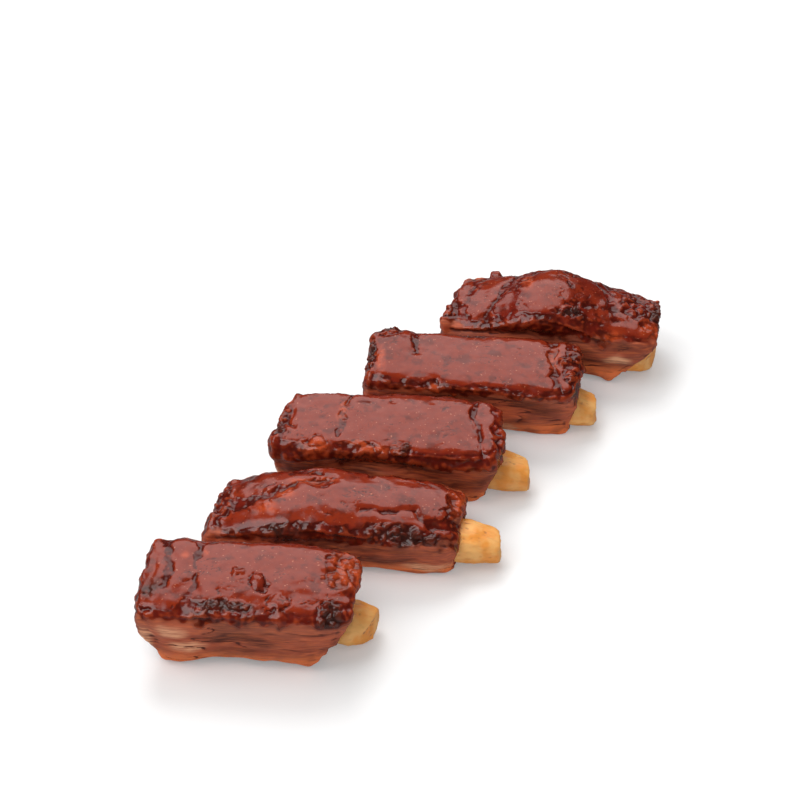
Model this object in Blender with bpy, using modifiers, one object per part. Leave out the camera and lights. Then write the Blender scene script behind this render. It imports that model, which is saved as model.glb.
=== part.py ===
"""A glazed rack of ribs, cut between the bones into five ribs that lie side by side.

Metres, +Z up. Each rib is a block of meat with its own bone in it, lying along X, bare bone end
at +X. The origin is on the surface under the middle of the row, and +Y runs from the first rib,
rib_1, to the last, rib_5.
"""

import math

import bmesh
import bpy
from mathutils import Matrix, Vector, noise

# Driving dimensions, shared by all five ribs
BONE_WIDTH = 0.022          # across the flat of the rib bone
BONE_THICKNESS = 0.0135     # top to bottom
BONE_UNDER = 0.0012         # height of the bare end's underside above the surface
BONE_BOW = 0.0055           # rise of the bone's middle, as ribs are curved
BONE_START = 0.012          # meat left whole beyond the bone's hidden end
BONE_NOSE = 0.35            # how rounded the bare end is on the plan, as a share of its half width
POCKET_GAP = 0.0004         # between the bone and the meat round it
MEAT_LUMPS = 0.0012         # random unevenness of the meat
LUMP_SPACING = 0.017
LUMP_SEED = 8               # which random lumps: the same ones each run

# The cage that each block of meat is shaped from, in cells along, across and up
CAGE_CELLS = (10, 4, 3)
BONE_SIDES = 14
BONE_RINGS = 9

# One entry for each rib. middle is its place in the row, and turn its angle in degrees. Rakes are
# how far an end's foot is set back under its top edge, and undercut the same for the front side.
# Skews are how much shorter the back is than the front at each end.
# A hump's place is a share of the half length, from -1 at the left end to 1 at the bone end.
RIBS = {
    "rib_1": dict(
        middle=(-0.0630, -0.0900), turn=1.0, length=0.090, width=0.045, height=0.0350,
        left_rake=0.012, right_rake=0.020, left_skew=0.001, right_skew=-0.001,
        undercut=0.002, arch=0.0050, crown=0.0012, taper=0.05,
        hump=-0.001, hump_at=-0.45, hump_spread=0.25, end_drop=0.0015,
        bone_out=0.0060, bone_shift=0.0005, bone_slant=0.40,
    ),
    "rib_2": dict(
        middle=(-0.0352, -0.0355), turn=2.5, length=0.1075, width=0.041, height=0.0275,
        left_rake=-0.001, right_rake=0.003, left_skew=0.008, right_skew=-0.003,
        undercut=0.004, arch=0.0040, crown=0.0035, taper=-0.02,
        hump=0.0040, hump_at=-0.15, hump_spread=0.45, end_drop=0.0045,
        bone_out=0.0185, bone_shift=-0.0035, bone_slant=-0.20,
    ),
    "rib_3": dict(
        middle=(-0.0165, 0.0120), turn=1.0, length=0.1035, width=0.041, height=0.0320,
        left_rake=-0.007, right_rake=-0.011, left_skew=0.008, right_skew=0.002,
        undercut=0.004, arch=0.0040, crown=0.0008, taper=-0.02,
        hump=0.0, hump_at=0.0, hump_spread=0.4, end_drop=0.0005,
        bone_out=0.0115, bone_shift=-0.0035, bone_slant=-0.20,
    ),
    "rib_4": dict(
        middle=(0.0175, 0.0590), turn=0.5, length=0.0945, width=0.040, height=0.0305,
        left_rake=0.0, right_rake=0.002, left_skew=0.001, right_skew=-0.002,
        undercut=0.004, arch=0.0035, crown=0.0008, taper=-0.03,
        hump=0.0020, hump_at=-0.85, hump_spread=0.22, end_drop=0.0,
        bone_out=0.0100, bone_shift=-0.0035, bone_slant=-0.10,
    ),
    "rib_5": dict(
        middle=(0.0520, 0.1035), turn=-3.0, length=0.102, width=0.042, height=0.0305,
        left_rake=0.003, right_rake=0.023, left_skew=0.008, right_skew=0.0,
        undercut=0.003, arch=0.0045, crown=0.0035, taper=0.02,
        hump=0.0105, hump_at=-0.05, hump_spread=0.38, end_drop=0.0020,
        bone_out=-0.0025, bone_shift=-0.005, bone_slant=0.30,
    ),
}

MEAT_COLOUR = (0.25, 0.045, 0.022, 1.0)
BONE_COLOUR = (0.78, 0.38, 0.11, 1.0)


def clear_scene():
    for old in list(bpy.data.objects):
        bpy.data.objects.remove(old)


def finish(name, colour, roughness):
    """A plain material in the piece's main colour."""
    material = bpy.data.materials.new(name)
    material.use_nodes = True
    shader = material.node_tree.nodes["Principled BSDF"]
    shader.inputs["Base Color"].default_value = colour
    shader.inputs["Roughness"].default_value = roughness
    shader.inputs["Metallic"].default_value = 0.0
    return material


def cage_of(size, cells):
    """A box on the surface z = 0, cut into cells along each of its three directions."""
    shape = bmesh.new()
    bmesh.ops.create_cube(shape, size=1.0)
    for axis, count in enumerate(cells):
        along = [
            edge for edge in shape.edges
            if abs((edge.verts[0].co - edge.verts[1].co)[axis]) > 0.5
        ]
        bmesh.ops.subdivide_edges(shape, edges=along, cuts=count - 1, use_grid_fill=True)
    bmesh.ops.translate(shape, verts=shape.verts, vec=(0, 0, 0.5))
    bmesh.ops.scale(shape, verts=shape.verts, vec=size)
    return shape


def meat_point(point, rib, seed):
    """Where a point of the plain cage goes on the shaped block of meat."""
    length, width, height = rib["length"], rib["width"], rib["height"]
    along = 2 * point.x / length        # -1 at the left end, 1 at the bone end
    across = 2 * point.y / width        # -1 at the front, 1 at the back
    up = point.z / height               # 0 underneath, 1 on top
    low = max(0.0, 1 - up)

    bulge = math.exp(-((along - rib["hump_at"]) / rib["hump_spread"]) ** 2)
    top = height + rib["hump"] * bulge - rib["crown"] * across ** 2 - rib["end_drop"] * along ** 4
    foot = rib["arch"] * max(0.0, 1 - (along / 0.72) ** 2) ** 0.8 - 0.0012
    rake = rib["right_rake"] if along > 0 else rib["left_rake"]

    x = point.x - math.copysign(rake * low ** 1.2 * abs(along) ** 3, along)
    back = (1 + across) / 2             # 0 along the front side, 1 along the back
    skew = -rib["right_skew"] if along > 0 else rib["left_skew"]
    x += skew * back * abs(along)
    y = point.y * (1 - rib["taper"] * along)
    y += rib["undercut"] * low * max(0.0, -across) ** 2
    y *= 1 - 0.10 * along ** 6
    z = foot + (top - foot) * up

    lump = noise.noise_vector(Vector((x, y, z)) / LUMP_SPACING + Vector((seed, 0, 0)))
    lump.z *= max(0.0, up) ** 0.5
    return Vector((x, y, z)) + MEAT_LUMPS * lump


def meat_block(name, rib, seed, collection):
    """The block of meat: a shaped cage, rounded by subdivision and set down on flat feet."""
    size = (rib["length"] * 1.02, rib["width"] * 1.07, rib["height"] * 1.02)
    shape = cage_of(size, CAGE_CELLS)
    for vertex in shape.verts:
        vertex.co = meat_point(vertex.co, rib, seed)
    mesh = bpy.data.meshes.new(name)
    shape.to_mesh(mesh)
    shape.free()
    cage = bpy.data.objects.new(name + "_cage", mesh)
    collection.objects.link(cage)
    rounding = cage.modifiers.new("rounding", "SUBSURF")
    rounding.levels = 1
    rounding.render_levels = 1
    bpy.context.view_layer.update()
    graph = bpy.context.evaluated_depsgraph_get()
    block = bpy.data.objects.new(name, bpy.data.meshes.new_from_object(cage.evaluated_get(graph)))
    block.data.name = name
    collection.objects.link(block)
    bpy.data.objects.remove(cage)
    for vertex in block.data.vertices:
        vertex.co.z = max(vertex.co.z, 0.0)
    return block


def bone_shape(name, rib, gap, collection):
    """The rib bone: a flattened, bowed rod with a rounded, slanting cut end. gap makes it fatter."""
    half = rib["length"] / 2
    start = -half + max(0.0, rib["left_rake"]) + BONE_START - gap
    reach = 0.004 if gap else 0.0       # the pocket's cutter runs out past the meat
    tip = half + rib["bone_out"] + reach
    shape = bmesh.new()
    bmesh.ops.create_cone(
        shape, cap_ends=True, segments=BONE_SIDES, radius1=1.0, radius2=1.0, depth=1.0,
        matrix=Matrix.Rotation(math.radians(90), 4, "Y"),
    )
    along = [
        edge for edge in shape.edges
        if abs(edge.verts[0].co.x - edge.verts[1].co.x) > 0.5
    ]
    bmesh.ops.subdivide_edges(shape, edges=along, cuts=BONE_RINGS, use_grid_fill=True)
    for vertex in shape.verts:
        share = vertex.co.x + 0.5       # 0 at the hidden end, 1 at the bare end
        side, lift = vertex.co.y, vertex.co.z
        wide = (BONE_WIDTH / 2) * (0.86 + 0.14 * share) + gap
        tall = (BONE_THICKNESS / 2) * (0.92 + 0.08 * share) + gap
        if not gap:
            rounded = 1 - 0.22 * max(0.0, (share - 0.93) / 0.07) ** 2
            wide *= rounded
            tall *= rounded
        x = start + (tip - start) * share
        level = BONE_UNDER + BONE_THICKNESS / 2
        arc = level + BONE_BOW * (1 - (x / (half + rib["bone_out"])) ** 2)
        vertex.co = (
            x + (rib["bone_slant"] * side - BONE_NOSE * side ** 2) * wide * share ** 8,
            rib["bone_shift"] + wide * math.copysign(abs(side) ** 0.85, side),
            arc + tall * math.copysign(abs(lift) ** 0.9, lift),
        )
    mesh = bpy.data.meshes.new(name)
    shape.to_mesh(mesh)
    shape.free()
    bone = bpy.data.objects.new(name, mesh)
    collection.objects.link(bone)
    return bone


def cut_pocket(block, cutter):
    """Takes the bone's pocket out of the meat. It is open where the bone comes out."""
    pocket = block.modifiers.new("bone pocket", "BOOLEAN")
    pocket.operation = "DIFFERENCE"
    pocket.object = cutter
    cutter.hide_render = True
    cutter.display_type = "WIRE"


def row_middle(objects):
    """The middle, on the plan, of the box round the objects."""
    corners = [item.matrix_world @ vertex.co for item in objects for vertex in item.data.vertices]
    xs = [corner.x for corner in corners]
    ys = [corner.y for corner in corners]
    return Vector(((min(xs) + max(xs)) / 2, (min(ys) + max(ys)) / 2, 0))


def build():
    clear_scene()
    noise.seed_set(LUMP_SEED)
    rack = bpy.data.collections.new("rack_of_ribs")
    cutters = bpy.data.collections.new("cutters")
    bpy.context.scene.collection.children.link(rack)
    bpy.context.scene.collection.children.link(cutters)
    glazed_meat = finish("glazed_meat", MEAT_COLOUR, 0.35)
    bare_bone = finish("bare_bone", BONE_COLOUR, 0.55)

    holders, pieces = [], []
    for number, (name, rib) in enumerate(RIBS.items(), start=1):
        holder = bpy.data.objects.new(name, None)
        holder.location = (*rib["middle"], 0)
        holder.rotation_euler.z = math.radians(rib["turn"])
        rack.objects.link(holder)
        holders.append(holder)

        block = meat_block(name + "_meat", rib, number * 3.7, rack)
        bone = bone_shape(name + "_bone", rib, 0.0, rack)
        cutter = bone_shape(name + "_pocket", rib, POCKET_GAP, cutters)
        cut_pocket(block, cutter)
        block.data.materials.append(glazed_meat)
        bone.data.materials.append(bare_bone)
        for piece in (block, bone, cutter):
            piece.parent = holder
        for piece in (block, bone):
            piece.data.shade_smooth()
            pieces.append(piece)

    bpy.context.view_layer.update()
    middle = row_middle(pieces)
    for holder in holders:
        holder.location -= middle


build()
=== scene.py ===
"""A glazed rack of ribs, cut between the bones into five ribs that lie side by side on white."""
from math import cos, radians, sin

import bpy
import numpy as np
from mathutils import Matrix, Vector, noise


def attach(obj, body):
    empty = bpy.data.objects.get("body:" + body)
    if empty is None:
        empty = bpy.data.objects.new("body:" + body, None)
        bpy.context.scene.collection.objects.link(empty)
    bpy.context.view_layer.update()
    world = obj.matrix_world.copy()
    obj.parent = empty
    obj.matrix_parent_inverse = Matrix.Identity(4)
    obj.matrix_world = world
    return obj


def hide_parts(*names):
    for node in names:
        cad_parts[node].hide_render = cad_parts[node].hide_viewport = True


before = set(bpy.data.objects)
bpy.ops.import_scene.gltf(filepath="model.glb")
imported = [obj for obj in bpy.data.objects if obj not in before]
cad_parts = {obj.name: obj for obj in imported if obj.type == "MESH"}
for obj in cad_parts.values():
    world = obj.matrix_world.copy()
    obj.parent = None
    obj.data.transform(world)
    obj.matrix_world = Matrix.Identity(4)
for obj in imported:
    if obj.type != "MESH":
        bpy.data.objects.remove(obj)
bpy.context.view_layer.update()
bpy.ops.object.select_all(action="DESELECT")


# ---------------------------------------------------------------------------------------------
# Studio
# A wide white table and four white soft boxes. The wet glaze mirrors the big one above and behind
# the ribs and the one at the upper left. One more behind and one in front light without a shine,
# and what else the glaze mirrors is dim.
# ---------------------------------------------------------------------------------------------
def towards(azimuth, elevation):
    """The direction from the ribs to something at this azimuth and elevation, in degrees."""
    turn, rise = radians(azimuth), radians(elevation)
    return Vector((sin(turn) * cos(rise), -cos(turn) * cos(rise), sin(rise)))


def hang_lamp(name, azimuth, elevation, distance, size, power, mirrored=True):
    """A white soft box aimed at the ribs. One that isn't mirrored lights them with no shine."""
    direction = towards(azimuth, elevation)
    bpy.ops.object.light_add(type="AREA", location=direction * distance)
    lamp = bpy.context.object
    lamp.name = name
    lamp.rotation_euler = (-direction).to_track_quat("-Z", "Y").to_euler()
    lamp.data.shape = "RECTANGLE"
    lamp.data.size, lamp.data.size_y = size
    lamp.data.energy = power
    lamp.visible_glossy = mirrored


CAMERA_AZIMUTH, CAMERA_ELEVATION = 6.0, 42.0
CAMERA_DISTANCE = 1.044
AIM = Vector((-0.0148, 0.0552, 0.0))
camera_way = towards(CAMERA_AZIMUTH, CAMERA_ELEVATION)
bpy.ops.object.camera_add(location=AIM + camera_way * CAMERA_DISTANCE)
camera = bpy.context.object
camera.name = "camera"
camera.data.lens = 100.0
camera.rotation_euler = (-camera_way).to_track_quat("-Z", "Y").to_euler()
bpy.context.scene.camera = camera
bpy.context.scene.view_settings.view_transform = "Standard"

hang_lamp("soft_box_behind", 186.0, 43.0, 1.7, (1.5, 1.2), 9.5)
hang_lamp("soft_box_left", 285.0, 56.0, 1.6, (1.2, 1.2), 13.0)
hang_lamp("soft_box_back", 205.0, 55.0, 1.7, (0.8, 0.8), 11.0, mirrored=False)
hang_lamp("soft_box_front", 20.0, 48.0, 1.8, (1.4, 1.4), 7.0, mirrored=False)

bpy.ops.mesh.primitive_plane_add(size=8.0, location=(0, 0, -0.0001))
table = bpy.context.object
table.name = "table"
bpy.ops.object.transform_apply(location=True, rotation=True, scale=True)


def new_material(name):
    """An empty material and its shader."""
    material = bpy.data.materials.new(name)
    material.use_nodes = True
    return material, material.node_tree.nodes["Principled BSDF"]


def feed(tree, value, socket):
    """Links the socket to the value if that is another socket, and else sets it."""
    if isinstance(value, bpy.types.NodeSocket):
        tree.links.new(value, socket)
    else:
        socket.default_value = value


def by_ray(tree, kind, usual, special):
    """A number that is special for rays of light of one kind, and usual for all the others."""
    made = tree.nodes.new("ShaderNodeMix")
    rays = tree.nodes.new("ShaderNodeLightPath")
    feed(tree, rays.outputs[kind], made.inputs["Factor"])
    feed(tree, usual, made.inputs["A"])
    feed(tree, special, made.inputs["B"])
    return made.outputs["Result"]


WHITE = (1, 1, 1, 1)
TABLE_SHADE, MIRRORED_TABLE, TABLE_GLOW = 0.80, 0.28, 0.20
table_white, shader = new_material("table_white")
tree = table_white.node_tree
feed(tree, by_ray(tree, "Is Glossy Ray", TABLE_SHADE, MIRRORED_TABLE), shader.inputs["Base Color"])
feed(tree, by_ray(tree, "Is Camera Ray", 0.0, TABLE_GLOW), shader.inputs["Emission Strength"])
shader.inputs["Emission Color"].default_value = WHITE
shader.inputs["Roughness"].default_value = 0.9
shader.inputs["Specular IOR Level"].default_value = 0.0
table.data.materials.append(table_white)

FILL_LIGHT, SEEN_ROOM, MIRRORED_ROOM = 0.22, 1.0, 0.025
room = bpy.data.worlds.new("room")
bpy.context.scene.world = room
room.use_nodes = True
tree = room.node_tree
backdrop = tree.nodes["Background"]
backdrop.inputs["Color"].default_value = WHITE
fill = by_ray(tree, "Is Camera Ray", FILL_LIGHT, SEEN_ROOM)
feed(tree, by_ray(tree, "Is Glossy Ray", fill, MIRRORED_ROOM), backdrop.inputs["Strength"])


# ---------------------------------------------------------------------------------------------
# Meat
# Five blocks of roast pork, one round each bone, cut apart with a knife along their long sides.
# The top is brushed with a thick sauce that has set to a wet, dark glaze: it lies in smooth pools
# between bare creases, blisters at the ends and chars along the edges. The cut sides show fibres.
# ---------------------------------------------------------------------------------------------
MM = 0.001
ROUGH_VOXEL, FINE_VOXEL = 0.9 * MM, 0.56 * MM
LEFT_SWELL = 1.9
GLAZE_DEPTH, RIM_HEIGHT = 0.22 * MM, 0.06 * MM
LEVEL_ENOUGH = 0.945


def smooth_step(low, high, value):
    """0 below low, 1 above high, with a soft rise between."""
    share = np.clip((value - low) / (high - low), 0.0, 1.0)
    return share * share * (3 - 2 * share)


def uneven(points, spacing, seed, layers=1):
    """Soft random rise and fall, about -1 to 1, with bumps this far apart along X, Y and Z."""
    places = (points / (np.array(spacing) * MM) + seed * 7.31).tolist()
    return 1.4 * np.array([noise.fractal(place, 1.0, 2.0, layers) for place in places])


def blisters(points, spacing, seed):
    """Rounded lumps crowded together: 1 on top of a lump and 0 in the crease round it."""
    places = (points / (np.array(spacing) * MM) + seed * 5.17).tolist()
    near = np.array([noise.voronoi(place)[0][:2] for place in places])
    return smooth_step(0.0, 0.85, 1 - near[:, 0] / np.maximum(near[:, 1], 1e-6))


def read_points(mesh):
    """Where each corner of the mesh is."""
    points = np.empty(len(mesh.vertices) * 3)
    mesh.vertices.foreach_get("co", points)
    return points.reshape(-1, 3)


def read_normals(mesh):
    """Which way the skin faces at each corner."""
    normals = np.empty(len(mesh.vertices) * 3)
    mesh.vertex_normals.foreach_get("vector", normals)
    return normals.reshape(-1, 3)


def blurred(mesh, values, rounds):
    """The values, averaged with their neighbours' this many times."""
    edges = np.empty(len(mesh.edges) * 2, dtype=np.int64)
    mesh.edges.foreach_get("vertices", edges)
    ends = edges.reshape(-1, 2)
    size = len(mesh.vertices)
    count = 1.0 + np.bincount(edges, minlength=size)
    columns = values.reshape(size, -1).T.copy()
    for _ in range(rounds):
        for index, column in enumerate(columns):
            total = column + np.bincount(ends[:, 0], column[ends[:, 1]], size)
            columns[index] = (total + np.bincount(ends[:, 1], column[ends[:, 0]], size)) / count
    return columns.T.reshape(values.shape)


def make_active(piece):
    """Selects this piece alone."""
    bpy.ops.object.select_all(action="DESELECT")
    piece.select_set(True)
    bpy.context.view_layer.objects.active = piece


def remesh(piece, voxel, rounds):
    """Gives the piece an even skin of small squares, and smooths it this many times."""
    make_active(piece)
    skin = piece.modifiers.new("even skin", "REMESH")
    skin.mode = "VOXEL"
    skin.voxel_size = voxel
    bpy.ops.object.modifier_apply(modifier=skin.name)
    if rounds:
        calm = piece.modifiers.new("rounding", "SMOOTH")
        calm.factor = 0.5
        calm.iterations = rounds
        bpy.ops.object.modifier_apply(modifier=calm.name)


def copy_of_node(node_name, piece_name):
    """A closed copy of a CAD solid, with its loose triangles joined up."""
    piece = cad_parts[node_name].copy()
    piece.data = piece.data.copy()
    piece.name = piece.data.name = piece_name
    piece.data.materials.clear()
    bpy.context.scene.collection.objects.link(piece)
    make_active(piece)
    bpy.ops.object.mode_set(mode="EDIT")
    bpy.ops.mesh.select_all(action="SELECT")
    bpy.ops.mesh.remove_doubles(threshold=0.00001)
    bpy.ops.object.mode_set(mode="OBJECT")
    return piece


# What shows on each rib. A place is (along, across): along runs from -1 at the left end to 1 at the
# bone end, and across from -1 at the front to 1 at the back. Sizes are in millimetres.
#   creases: from, to, width, depth        knobs: place, radius, height
#   blistered, charred, and bright, where the glaze is thin and orange: place, reach along and across
#   fatty, on the cut side: (along, up), reach along and up; up runs from 0 at the foot to 1
#   glaze_foot: how far down the cut side the glaze has run, as a share of the rib's height
#   hollow_at, hollow_reach, hollow: where the cut side is sunk under the top's lip, how far along
#   that goes, and how deep it is
TOPS = {
    1: dict(
        creases=[((-0.50, 1.1), (-0.56, -1.1), 7.0, 0.8), ((-0.86, 0.9), (-0.80, -0.4), 5.5, 0.5)],
        knobs=[((0.07, -0.20), 4.4, 1.5), ((-0.11, 0.04), 2.4, 0.9), ((0.29, -0.62), 4.0, 0.8)],
        blistered=[((0.90, 0.25), 13, 18), ((0.80, -0.68), 8, 7), ((-0.20, -0.75), 15, 5),
                   ((0, 1.02), 48, 2.5)],
        charred=[((0.80, -0.70), 7, 7), ((-0.25, -0.74), 17, 5), ((-0.92, -0.45), 5, 9)],
        bright=[((0.90, 0.30), 12, 16), ((0.50, -1.02), 10, 4), ((-0.67, 0.38), 3, 2),
                ((-0.45, 0.45), 2, 3), ((-0.92, 0.95), 9, 5), ((0.1, 1.04), 44, 2.5)],
        fatty=[((-0.68, 0.66), 9, 4.5), ((-0.55, 0.40), 10, 4), ((-0.93, 0.50), 5, 9)],
        glaze_foot=0.80,
        hollow_at=0.0, hollow_reach=0.9, hollow=0.8,
    ),
    2: dict(
        creases=[((-0.80, -0.30), (-0.05, 0.50), 4.5, 1.1), ((-0.45, 0.85), (-0.15, 0.62), 3.5, 0.8),
                 ((0.18, -0.36), (0.62, -0.12), 3.2, 1.0), ((0.62, -0.12), (0.76, -0.44), 3.0, 1.0),
                 ((0.76, -0.44), (0.96, -0.20), 3.0, 1.0), ((0.24, 1.1), (0.24, 0.75), 3.0, 0.9)],
        knobs=[((-0.15, 0.30), 4.0, -0.9), ((-0.55, 0.05), 3.0, 0.8)],
        blistered=[((0.96, 0.15), 9, 16), ((0.60, -0.74), 24, 7), ((-0.95, -0.1), 8, 16),
                   ((0.1, 1.02), 44, 2.5)],
        charred=[((0.60, -0.74), 24, 7), ((-0.40, -0.92), 14, 4), ((0.25, 0.95), 3, 3)],
        bright=[((0.97, 0.30), 9, 15), ((-0.55, -0.40), 8, 5), ((-0.42, -0.05), 7, 3.5),
                ((-0.28, 0.28), 9, 3.5), ((-0.10, 0.45), 9, 2.5), ((0.0, 1.02), 30, 3)],
        fatty=[((0.75, 0.25), 14, 5)],
        glaze_foot=0.66,
        hollow_at=-0.2, hollow_reach=0.7, hollow=1.0,
    ),
    3: dict(
        creases=[((-0.42, 1.1), (-0.42, -0.5), 5.0, 0.3), ((0.68, 0.9), (0.86, -0.9), 3.2, 1.1),
                 ((0.90, 0.9), (0.98, -0.9), 3.0, 1.0), ((-0.95, 0.6), (-0.85, -0.4), 3.0, 0.9)],
        knobs=[((-0.62, -0.88), 4.6, 1.3), ((0.16, -0.85), 2.6, 0.9)],
        blistered=[((-0.12, -0.82), 18, 6), ((1.0, -0.2), 7, 18), ((-0.98, -0.1), 6, 18)],
        charred=[((-0.97, -0.45), 4, 5), ((0.17, -0.80), 3, 3), ((-0.75, 0.9), 8, 3)],
        bright=[((-0.60, -0.90), 8, 5), ((-0.43, 0.2), 3, 12), ((-0.15, -0.8), 16, 4),
                ((-0.95, 0.5), 4, 9)],
        fatty=[((-0.98, 0.35), 5, 9)],
        glaze_foot=0.70,
        hollow_at=-0.15, hollow_reach=0.45, hollow=3.0,
    ),
    4: dict(
        creases=[((-0.60, 1.1), (-0.58, 0.0), 3.6, 1.0), ((0.70, 0.9), (0.80, -1.1), 4.5, 1.2),
                 ((-0.35, -1.1), (-0.35, -0.78), 3.0, 0.8)],
        knobs=[((-0.88, 0.72), 5.0, 1.6), ((0.86, 0.15), 3.0, 1.0), ((0.95, -0.4), 3.0, 1.0)],
        blistered=[((-0.88, 0.74), 6, 6), ((0.93, 0.1), 8, 20), ((-1.0, -0.2), 4, 14)],
        charred=[((-0.88, 0.74), 6, 6), ((-0.1, 0.78), 18, 2.5), ((-1.0, -0.1), 3, 12),
                 ((0.95, 0.9), 5, 5)],
        bright=[((0.74, 0.2), 4, 12), ((-0.88, -0.35), 3.5, 11), ((-0.35, -0.9), 3, 3)],
        fatty=[((0.35, 0.18), 9, 4)],
        glaze_foot=0.78,
        hollow_at=0.3, hollow_reach=0.8, hollow=1.4,
    ),
    5: dict(
        creases=[((-0.34, 0.9), (-0.62, -0.7), 4.0, 1.0), ((-0.70, 0.9), (-0.85, -0.5), 7.0, 0.7),
                 ((0.50, 0.9), (0.60, -0.5), 5.0, 0.8)],
        knobs=[((-0.60, 0.88), 2.6, 3.0), ((0.15, -0.55), 3.6, 1.0)],
        blistered=[((0.85, 0.1), 14, 22), ((0.2, -0.62), 12, 4), ((-0.98, -0.2), 6, 14)],
        charred=[((0.15, -0.62), 10, 3), ((0.98, -0.1), 4, 12), ((0.1, 0.95), 10, 3)],
        bright=[((0.60, -0.92), 9, 5), ((-0.25, 0.2), 4, 10), ((-0.55, -0.95), 12, 3),
                ((0.92, -0.5), 8, 6)],
        fatty=[((0.62, 0.42), 9, 4)],
        glaze_foot=0.64,
        hollow_at=-0.3, hollow_reach=0.7, hollow=2.4,
    ),
}


def places_on(points, low, high):
    """Along, across and up on a rib that fills the box from low to high."""
    middle, half = (low + high) / 2, (high - low) / 2
    along = (points[:, 0] - middle[0]) / half[0]
    across = (points[:, 1] - middle[1]) / half[1]
    return along, across, (points[:, 2] - low[2]) / (2 * half[2])


def patch(plan, half, spots, soft=0.5):
    """1 inside any of the oval spots, falling to 0 at their reach."""
    cover = np.zeros(len(plan))
    for place, reach_along, reach_across in spots:
        gap = (plan - np.array(place) * half) / (np.array((reach_along, reach_across)) * MM)
        cover = np.maximum(cover, 1 - smooth_step(1 - soft, 1.0, np.hypot(*gap.T)))
    return cover


def crease_at(plan, half, start, end, width):
    """1 along the middle of a crease, falling to 0 at its sides."""
    start, end = np.array(start) * half, np.array(end) * half
    run = end - start
    share = np.clip((plan - start) @ run / (run @ run), 0, 1)
    distance = np.linalg.norm(plan - start - share[:, None] * run, axis=1)
    return smooth_step(1.0, 0.0, distance / (0.75 * width * MM))


POCKET_FORWARD, POCKET_HEIGHT = 3.5 * MM, 10 * MM


def outside(points, facing, low, high):
    """1 on the outside of a block of meat, and 0 on the walls of the pocket round its bone."""
    spread = points[:, 1:] - np.array(((low + high)[1] / 2 - POCKET_FORWARD, POCKET_HEIGHT))
    spread /= np.maximum(np.linalg.norm(spread, axis=1), 1e-6)[:, None]
    return smooth_step(-0.5, -0.2, (spread * facing[:, 1:]).sum(1))


def plan_of(points, number, low, high):
    """The rib from above, measured from its middle, with wavy lines, and again with ragged ones."""
    wavy = np.stack([uneven(points, 8, number, 2), uneven(points, 8, number + 20, 2)], 1) * 1.8 * MM
    torn = np.stack([uneven(points, 3, number + 21, 2), uneven(points, 3, number + 22, 2)], 1)
    plan = points[:, :2] - (low + high)[:2] / 2 + wavy
    return plan, plan + 0.9 * MM * torn, wavy


def from_knob(ragged, half, place, radius):
    """How far each point is from a knob's middle, in radii of the knob."""
    return np.linalg.norm(ragged - np.array(place) * half, axis=1) / (radius * MM)


def rough_out(piece, number, top):
    """The large forms: creases and knobs on top, hollows and folds along the cut side, lumpy ends."""
    mesh = piece.data
    points = read_points(mesh)
    low, high = points.min(0), points.max(0)
    along, across, up = places_on(points, low, high)
    half = (high - low)[:2] / 2
    facing = blurred(mesh, read_normals(mesh), 6)
    plan, ragged, _ = plan_of(points, number, low, high)
    on_top = smooth_step(0.25, 0.7, facing[:, 2])
    cut_side = smooth_step(0.35, 0.75, -facing[:, 1]) * (facing[:, 2] < 0.6)
    back_side = smooth_step(0.35, 0.75, facing[:, 1])
    ends = smooth_step(0.35, 0.8, np.abs(facing[:, 0]))

    push = 0.40 * MM * uneven(points, 12, number + 2) * (1 - 0.3 * on_top)
    push += 0.16 * MM * uneven(points, 5, number + 3) * on_top
    for start, end, width, depth in top["creases"]:
        push -= 0.7 * depth * MM * crease_at(plan, half, start, end, 1.5 * width) * on_top
    for place, radius, height in top["knobs"]:
        gap = from_knob(ragged, half, place, radius)
        push += height * MM * np.sqrt(np.clip(1 - gap ** 2, 0, 1)) * on_top
        push -= 0.25 * MM * np.exp(-((gap - 1.12) / 0.22) ** 2) * on_top

    folds = uneven(points, (30, 11, 9), number + 4)
    push += (cut_side + back_side) * MM * (1.5 * folds - 0.3)
    under_lip = np.exp(-((up - 0.66) / 0.13) ** 2)
    reach = np.exp(-((along - top["hollow_at"]) / top["hollow_reach"]) ** 4)
    push -= cut_side * under_lip * reach * top["hollow"] * MM
    push += ends * MM * (1.3 * uneven(points, 6.5, number + 6, 2) + 0.2)
    left_end = smooth_step(0.35, 0.8, -facing[:, 0])
    push += left_end * MM * (LEFT_SWELL + 1.2 * uneven(points, 9, number + 7))
    push += (1 - on_top) * (facing[:, 2] < -0.5) * 0.5 * MM * uneven(points, 8, number + 8)
    blown = patch(plan, half, top["blistered"])
    push += blown * np.maximum(on_top, ends) * 0.9 * MM * uneven(points, 4.5, number + 9)

    points += facing * (push * outside(points, facing, low, high))[:, None]
    edge = smooth_step(0.30, 0.05, up) * smooth_step(-0.75, -0.95, across)
    points[:, 2] += edge * MM * np.clip(2.2 * uneven(points, (12, 30, 30), number + 11), 0, 3)
    points[:, 2] = np.maximum(points[:, 2], 0.0)
    mesh.vertices.foreach_set("co", points.ravel())
    mesh.update()
    return low, high


def mark(mesh, **marks):
    """Stores each of these values over the surface, under its name, for the material."""
    for name, values in marks.items():
        attribute = mesh.attributes.new(name, "FLOAT", "POINT")
        attribute.data.foreach_set("value", values.astype(np.float32))


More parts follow.
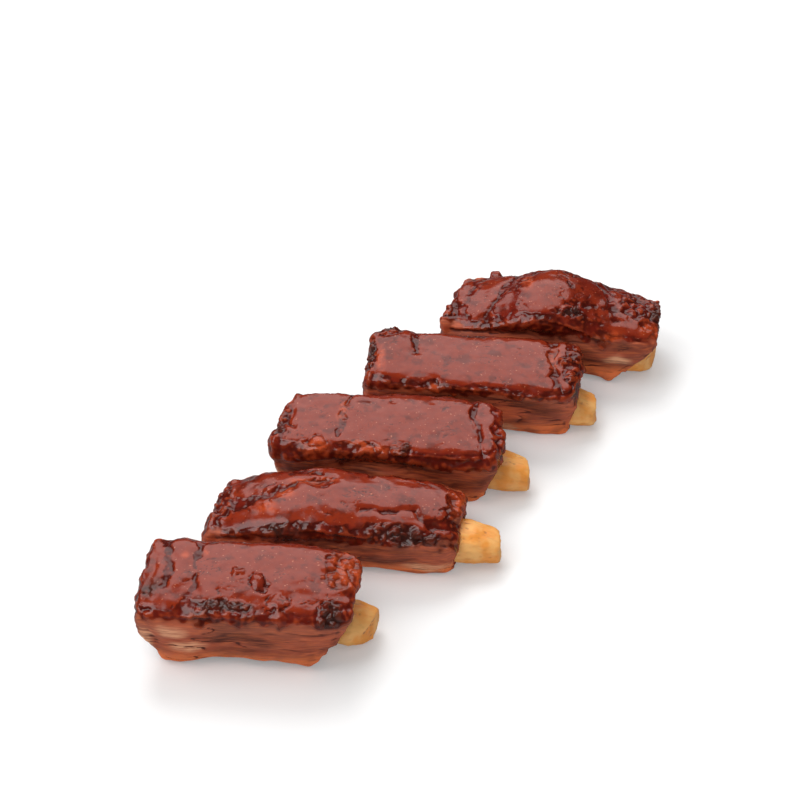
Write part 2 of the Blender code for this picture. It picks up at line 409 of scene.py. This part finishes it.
def carve(piece, number, top, low, high):
    """The small forms: glaze pools and their rims, blisters, char, fibres. Also marks where each is."""
    mesh = piece.data
    points = read_points(mesh)
    along, _, up = places_on(points, low, high)
    half = (high - low)[:2] / 2
    facing = blurred(mesh, read_normals(mesh), 14)
    facing /= np.linalg.norm(facing, axis=1)[:, None]
    wide_wave = uneven(points, 6, number + 31, 2)
    small_wave = uneven(points, 2.2, number + 32, 2)
    drift = uneven(points, 13, number + 30)
    plan, ragged, wavy = plan_of(points, number, low, high)

    tilt = facing[:, 2]
    on_top = smooth_step(0.35, 0.65, tilt) * smooth_step(0.45, 0.6, up)
    foot = top["glaze_foot"]
    below_glaze = smooth_step(foot + 0.06, foot - 0.04, up + 0.08 * wide_wave)
    cut_side = smooth_step(0.25, 0.5, -facing[:, 1]) * below_glaze
    back_side = smooth_step(0.25, 0.5, facing[:, 1]) * below_glaze
    cut = np.maximum(cut_side, back_side)
    upper = smooth_step(0.45, 0.60, up + 0.04 * small_wave) * (1 - 0.8 * cut)
    blown = patch(plan, half, top["blistered"]) * upper
    char = patch(plan, half, top["charred"], 0.8) * upper
    bright = patch(plan, half, top["bright"], 0.8) * upper
    creased = np.zeros(len(points))
    for start, end, width, _ in top["creases"]:
        creased = np.maximum(creased, crease_at(plan, half, start, end, width))
    broken = smooth_step(-0.35, 0.1, small_wave)
    for place, radius, _ in top["knobs"]:
        gap = from_knob(ragged, half, place, radius)
        creased = np.maximum(creased, np.exp(-((gap - 1.1) / 0.2) ** 2) * broken)

    rim = 7.0 * (tilt - LEVEL_ENOUGH) + 0.32 * wide_wave + 0.11 * small_wave + 0.36 * drift
    rim = rim - 1.1 * creased - 1.0 * blown - 0.6 * char + 0.40
    pool = smooth_step(-0.10, 0.12, rim) * on_top
    push = GLAZE_DEPTH * pool + RIM_HEIGHT * np.exp(-((rim - 0.08) / 0.07) ** 2) * on_top
    wrinkled = smooth_step(0.05, 0.5, uneven(points, 9, number + 37))
    wrinkles = np.exp(-(uneven(points, (3.4, 2.6, 3), number + 38, 2) / 0.10) ** 2) * wrinkled
    push -= 0.16 * MM * wrinkles * pool
    push += 0.10 * MM * uneven(points, 5.5, number + 39, 2) * pool

    bare = (1 - pool) * (1 - cut_side)
    push += bare * MM * (0.50 * uneven(points, 4.6, number + 34, 2) - 0.05)
    big_blisters = blisters(points, 4.8, number + 35)
    fine_blisters = blisters(points, 2.5, number + 36)
    end_faces = smooth_step(0.5, 0.8, np.abs(facing[:, 0]))
    swollen = np.maximum(blown, 0.35 * end_faces) * (1 - pool) * bare
    push += swollen * (1 - 0.35 * bright) * MM * (0.80 * big_blisters + 0.30 * fine_blisters - 0.3)
    push += char * (1 - 0.6 * pool) * MM * (0.50 * fine_blisters + 0.8 * big_blisters - 0.3)

    sway = np.zeros_like(points)
    sway[:, 1] = uneven(points, 16, number + 40)
    sway[:, 2] = uneven(points, 16, number + 41)
    grain = points + sway * 2.2 * MM
    strands = uneven(grain, (16, 1.6, 1.35), number + 42, 2)
    bundles = uneven(grain, (34, 3.8, 3.2), number + 43)
    torn = smooth_step(0.05, 0.45, uneven(points, (20, 8, 8), number + 45))
    splits = np.exp(-(uneven(grain, (36, 5.5, 4.4), number + 44) / 0.06) ** 2) * torn
    push += cut * MM * (0.12 * strands + 0.26 * bundles - 0.55 * splits)

    points += facing * (push * outside(points, facing, low, high))[:, None]
    points[:, 2] = np.maximum(points[:, 2], 0.0)
    mesh.vertices.foreach_set("co", points.ravel())
    mesh.update()
    normals = read_normals(mesh)
    # How far each point lies sunk below its neighbours: the material paints shade into the hollows with
    # it and turns the ridges orange.
    hollow = ((blurred(mesh, points, 9) - points) * normals).sum(1) / (0.25 * MM)

    face = np.stack([along * half[0], up * (high - low)[2]], 1) + 0.8 * wavy
    size = np.array((half[0], (high - low)[2]))
    # flat: where the glaze faces straight up, which the material paints lighter as painted light.
    mark(mesh, pale=patch(face, size, top["fatty"], 0.8), pool=pool, cut=cut, char=char,
         bright=bright, height=up, flat=smooth_step(0.88, 0.97, tilt),
         hollow=np.clip(hollow, -1, 1), strand=0.5 + 0.35 * strands + 0.35 * bundles - splits,
         wrinkle=np.maximum(wrinkles, 0.8 * np.exp(-((rim - 0.02) / 0.09) ** 2)))


def soft_patches():
    """The mottling of roasted things: soft random patches, with so many of them to a metre."""
    group = bpy.data.node_groups.new("soft_patches", "ShaderNodeTree")
    group.interface.new_socket("Per Metre", in_out="INPUT", socket_type="NodeSocketVector")
    group.interface.new_socket("Detail", in_out="INPUT", socket_type="NodeSocketFloat")
    group.interface.new_socket("Patches", in_out="OUTPUT", socket_type="NodeSocketFloat")
    given = group.nodes.new("NodeGroupInput").outputs
    place = group.nodes.new("ShaderNodeTexCoord").outputs["Object"]
    grid = group.nodes.new("ShaderNodeMapping")
    patches = group.nodes.new("ShaderNodeTexNoise")
    patches.inputs["Scale"].default_value = 1.0
    group.links.new(place, grid.inputs["Vector"])
    group.links.new(given["Per Metre"], grid.inputs["Scale"])
    group.links.new(grid.outputs["Vector"], patches.inputs["Vector"])
    group.links.new(given["Detail"], patches.inputs["Detail"])
    group.links.new(patches.outputs["Fac"], group.nodes.new("NodeGroupOutput").inputs["Patches"])
    return group


SOFT_PATCHES = soft_patches()


class Wiring:
    """Adds nodes to one material, each in a line."""

    def __init__(self, tree):
        self.tree = tree

    def node(self, kind, **values):
        """A new node with these settings."""
        made = self.tree.nodes.new(kind)
        for name, value in values.items():
            setattr(made, name, value)
        return made

    def mark(self, name):
        """A value stored over the surface of the piece."""
        return self.node("ShaderNodeAttribute", attribute_name=name).outputs["Fac"]

    def blend(self, share, first, second):
        """first where share is 0, and second where it is 1."""
        made = self.node("ShaderNodeMix", data_type="RGBA")
        feed(self.tree, share, made.inputs["Factor"])
        feed(self.tree, first, made.inputs[6])
        feed(self.tree, second, made.inputs[7])
        return made.outputs[2]

    def maths(self, operation, first, second):
        """The two values, added or multiplied."""
        made = self.node("ShaderNodeMath", operation=operation)
        feed(self.tree, first, made.inputs[0])
        feed(self.tree, second, made.inputs[1])
        return made.outputs[0]

    def rise(self, value, low, high, to_low=0.0, to_high=1.0):
        """to_low where the value is below low, to_high where it is above high."""
        made = self.node("ShaderNodeMapRange", interpolation_type="SMOOTHSTEP")
        for socket, number in zip(("Value", "From Min", "From Max", "To Min", "To Max"),
                                  (value, low, high, to_low, to_high)):
            feed(self.tree, number, made.inputs[socket])
        return made.outputs["Result"]

    def mottle(self, spacing, detail=2.0, stretch=(1, 1, 1)):
        """Soft random patches this many millimetres apart, stretched along X, Y and Z."""
        made = self.node("ShaderNodeGroup", node_tree=SOFT_PATCHES)
        made.inputs["Per Metre"].default_value = [1 / (part * spacing * MM) for part in stretch]
        made.inputs["Detail"].default_value = detail
        return made.outputs["Patches"]


# Painted light: the paler red of glaze pools that face straight up.
LEVEL_POOL_LIT_RED = (0.265, 0.028, 0.008, 1)
THICK_RED = (0.070, 0.006, 0.003, 1)
THIN_RED = (0.155, 0.011, 0.005, 1)
ORANGE_RED = (0.540, 0.075, 0.018, 1)
CHAR_BROWN = (0.045, 0.014, 0.010, 1)
MEAT_BROWN = (0.430, 0.078, 0.030, 1)
MEAT_DARK = (0.110, 0.017, 0.007, 1)
MEAT_ORANGE = (0.930, 0.215, 0.056, 1)
MEAT_PINK = (0.600, 0.160, 0.075, 1)
FAT = (0.850, 0.420, 0.230, 1)
SPECK = (0.60, 0.20, 0.11, 1)
WET_GLAZE, CUT_MEAT = 0.16, 0.58

glazed_meat, shader = new_material("glazed_meat")
wires = Wiring(glazed_meat.node_tree)
pool, cut, char = wires.mark("pool"), wires.mark("cut"), wires.mark("char")
bright, hollow, strand = wires.mark("bright"), wires.mark("hollow"), wires.mark("strand")
height, pale = wires.mark("height"), wires.mark("pale")
broad = wires.mottle(9)
middling = wires.mottle(3.2, 3)
specks = wires.mottle(1.3, 1)

# The bare glaze is orange on the ridges and nearly black in the creases, there partly thicker glaze and
# partly painted shade.
glaze = wires.blend(wires.rise(broad, 0.35, 0.65), THICK_RED, THIN_RED)
ridge = wires.maths("MULTIPLY", wires.rise(hollow, 0.0, -0.7), wires.rise(middling, 0.35, 0.6, 0.2, 0.9))
glaze = wires.blend(wires.maths("MULTIPLY", ridge, 0.5), glaze, ORANGE_RED)
# Painted shade, with thicker glaze: the hollows turn nearly black.
glaze = wires.blend(wires.rise(hollow, 0.0, 0.9, 0.0, 0.85), glaze, THICK_RED)

# The pools are a paler red where they face straight up, as painted light, and a darker red where they
# tilt, as painted shade; they are stained and speckled, with a dark line along their rims and wrinkles.
stain = wires.rise(wires.mottle(6, 3), 0.50, 0.68, 0.0, 0.55)
pooled = wires.blend(wires.mark("flat"), THIN_RED, LEVEL_POOL_LIT_RED)
pooled = wires.blend(wires.rise(middling, 0.3, 0.7, 0.0, 0.35), pooled, THIN_RED)
pooled = wires.blend(stain, pooled, THICK_RED)
pooled = wires.blend(wires.rise(specks, 0.69, 0.76, 0.0, 0.6), pooled, SPECK)
pooled = wires.blend(wires.rise(wires.mark("wrinkle"), 0.1, 0.9, 0.0, 0.85), pooled, THICK_RED)
glaze = wires.blend(pool, glaze, pooled)
sunny = wires.maths("MULTIPLY", bright, wires.rise(middling, 0.35, 0.6, 0.20, 0.75))
# Painted shade: the orange patches fade in the hollows.
sunny = wires.maths("MULTIPLY", sunny, wires.rise(hollow, 0.1, 0.9, 1.0, 0.45))
glaze = wires.blend(sunny, glaze, ORANGE_RED)

# The cut sides are brown fibres, orange at the foot and pale where fatty, with painted light on the
# raised strands and painted shade in their splits and hollows.
long_patches = wires.mottle(7, 2, (3, 1.5, 1.3))
streaks = wires.mottle(0.8, 3, (12, 1.2, 1.0))
fibre = wires.blend(wires.rise(long_patches, 0.32, 0.66), MEAT_DARK, MEAT_BROWN)
foot = wires.rise(height, 0.38, 0.16)
low_strip = wires.maths("MULTIPLY", foot, wires.rise(broad, 0.30, 0.55, 0.45, 1.0))
fibre = wires.blend(low_strip, fibre, MEAT_ORANGE)
fibre = wires.blend(wires.rise(height, 0.55, 0.75, 0.0, 0.25), fibre, MEAT_PINK)
# Painted light: paler on the raised strands.
fibre = wires.blend(wires.rise(strand, 0.2, 1.1, 0.0, 0.25), fibre, MEAT_PINK)
fibre = wires.blend(wires.rise(streaks, 0.45, 0.65, 0.0, 0.24), fibre, MEAT_ORANGE)
# Painted shade: dark in the splits between the strands.
fibre = wires.blend(wires.rise(strand, 0.35, -0.4, 0.0, 0.6), fibre, MEAT_DARK)
fatty = wires.maths("MULTIPLY", pale, wires.rise(streaks, 0.38, 0.58, 0.35, 1.0))
fibre = wires.blend(fatty, fibre, FAT)
# Painted shade: darker in the hollows of the cut side.
fibre = wires.blend(wires.rise(hollow, 0.1, 0.8), fibre, MEAT_DARK)

colour = wires.blend(cut, glaze, fibre)
scorch = wires.maths("MULTIPLY", char, wires.rise(middling, 0.3, 0.55, 0.35, 0.9))
colour = wires.blend(scorch, colour, CHAR_BROWN)
feed(wires.tree, colour, shader.inputs["Base Color"])
gloss = wires.rise(cut, 0.0, 1.0, WET_GLAZE, CUT_MEAT)
gloss = wires.maths("ADD", gloss, wires.rise(middling, 0.35, 0.65, -0.03, 0.05))
feed(wires.tree, gloss, shader.inputs["Roughness"])
shader.inputs["Subsurface Weight"].default_value = 0.06
shader.inputs["Subsurface Scale"].default_value = 0.002
shader.inputs["Subsurface Radius"].default_value = (1.0, 0.35, 0.2)

for number, top in TOPS.items():
    node_name = f"rib_{number}_meat"
    meat = copy_of_node(node_name, f"rib_{number}_glazed_meat")
    remesh(meat, ROUGH_VOXEL, 8)
    low, high = rough_out(meat, number, top)
    remesh(meat, FINE_VOXEL, 3)
    carve(meat, number, top, low, high)
    bpy.ops.object.shade_smooth()
    meat.data.materials.append(glazed_meat)
    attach(meat, "root")
    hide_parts(node_name)


# ---------------------------------------------------------------------------------------------
# Bones
# The flat rib bones, roasted to a yellow tan, their sawn ends bare where the meat has drawn back.
# ---------------------------------------------------------------------------------------------
BONE_TAN = (0.88, 0.33, 0.055, 1)
BONE_PALE = (0.93, 0.48, 0.150, 1)
BONE_BROWN = (0.50, 0.17, 0.045, 1)
BONE_VOXEL = 0.7 * MM

bare_bone, shader = new_material("bare_bone")
wires = Wiring(bare_bone.node_tree)
patchy = wires.mottle(7, 3)
streaks = wires.mottle(1.0, 3, (9, 1.6, 1.6))
tan = wires.blend(wires.rise(patchy, 0.35, 0.65), BONE_TAN, BONE_PALE)
tan = wires.blend(wires.rise(streaks, 0.5, 0.75, 0.0, 0.30), tan, BONE_BROWN)
# Painted shade: browner in the hollows.
tan = wires.blend(wires.rise(wires.mark("hollow"), 0.1, 0.8), tan, BONE_BROWN)
feed(wires.tree, tan, shader.inputs["Base Color"])
feed(wires.tree, wires.rise(patchy, 0.3, 0.7, 0.38, 0.55), shader.inputs["Roughness"])
shader.inputs["Subsurface Weight"].default_value = 0.08
shader.inputs["Subsurface Scale"].default_value = 0.002

for number in TOPS:
    node_name = f"rib_{number}_bone"
    bone = copy_of_node(node_name, f"rib_{number}_bare_bone")
    remesh(bone, BONE_VOXEL, 5)
    mesh = bone.data
    points = read_points(mesh)
    facing = blurred(mesh, read_normals(mesh), 3)
    ripple = uneven(points, (9, 3, 3), number + 50, 2)
    push = MM * (0.35 + 0.28 * ripple + 0.12 * uneven(points, 1.6, number + 51))
    points += facing * push[:, None]
    mesh.vertices.foreach_set("co", points.ravel())
    mesh.update()
    hollow = ((blurred(mesh, points, 6) - points) * read_normals(mesh)).sum(1) / (0.2 * MM)
    mark(mesh, hollow=np.clip(hollow, -1, 1))
    bpy.ops.object.shade_smooth()
    mesh.materials.append(bare_bone)
    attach(bone, "root")
    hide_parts(node_name)
